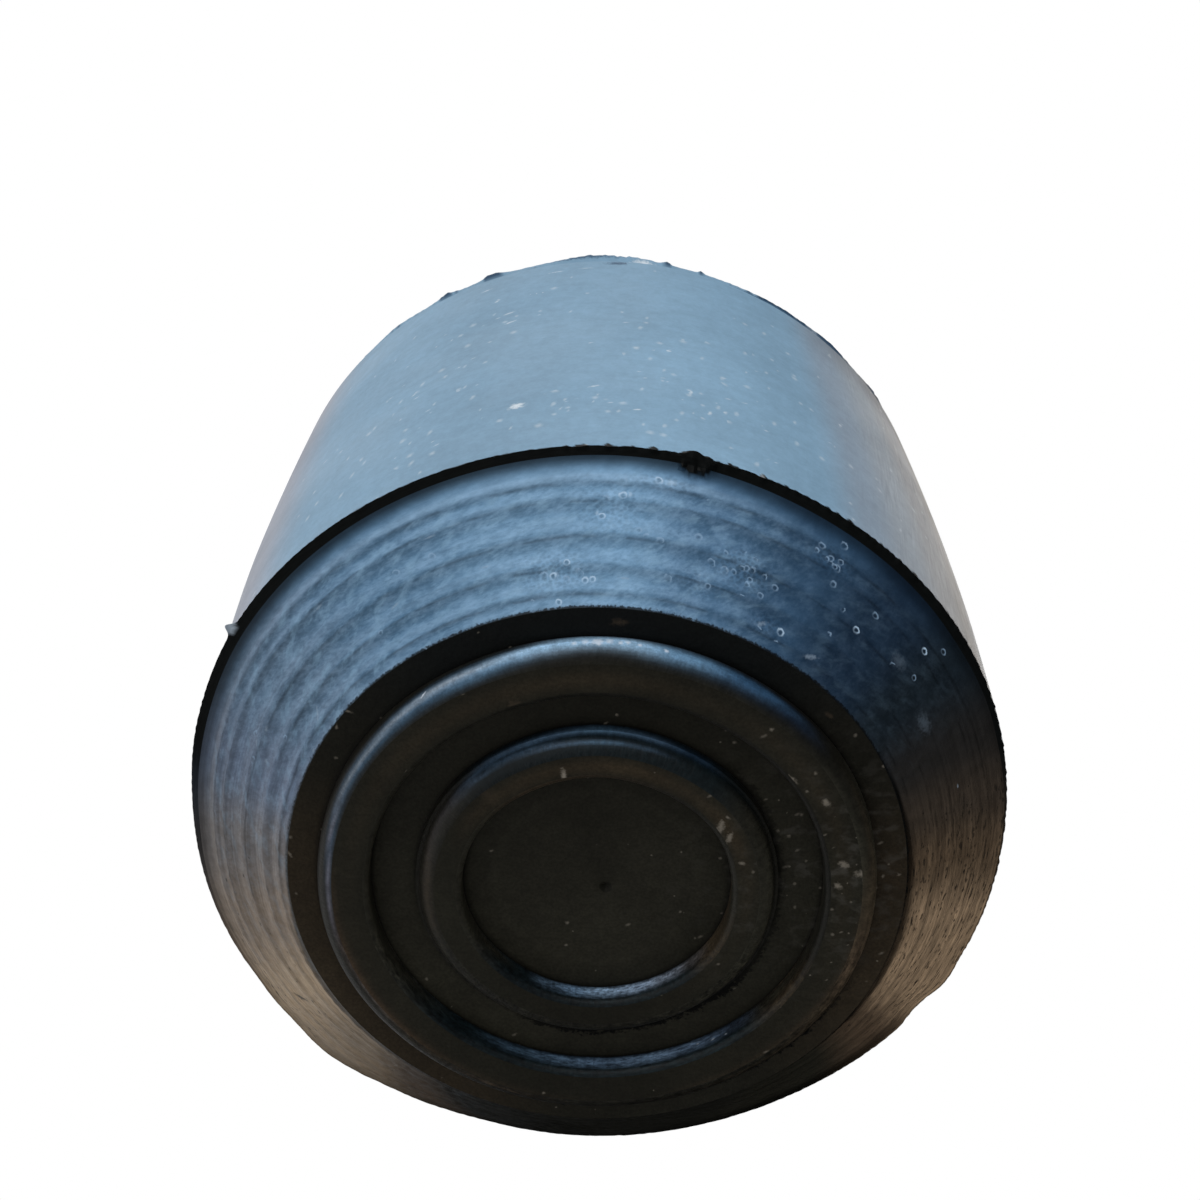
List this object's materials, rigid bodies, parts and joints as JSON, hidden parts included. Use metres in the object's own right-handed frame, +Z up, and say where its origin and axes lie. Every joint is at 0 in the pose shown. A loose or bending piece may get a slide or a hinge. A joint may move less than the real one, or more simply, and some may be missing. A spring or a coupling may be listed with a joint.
{
  "type": "rubber cane tip",
  "caption": "Moulded rubber tip that pushes onto the end of a walking cane, with a plain collar, a sharp lip, a stepped bevel and a ringed sole.",
  "frame": {"origin": "centre of the sole's resting plane, on the axis of the socket", "axes": "+Z up along the cane's axis, out of the mouth of the socket; X and Y are equivalent"},
  "size_m": [0.0358, 0.0358, 0.0305],
  "materials": {
    "rubber": "satin moulded rubber with a dusty bloom, near-black on the sole"
  },
  "bodies": {
    "root": {"rubber_tip": "rubber"}
  },
  "joints": []
}
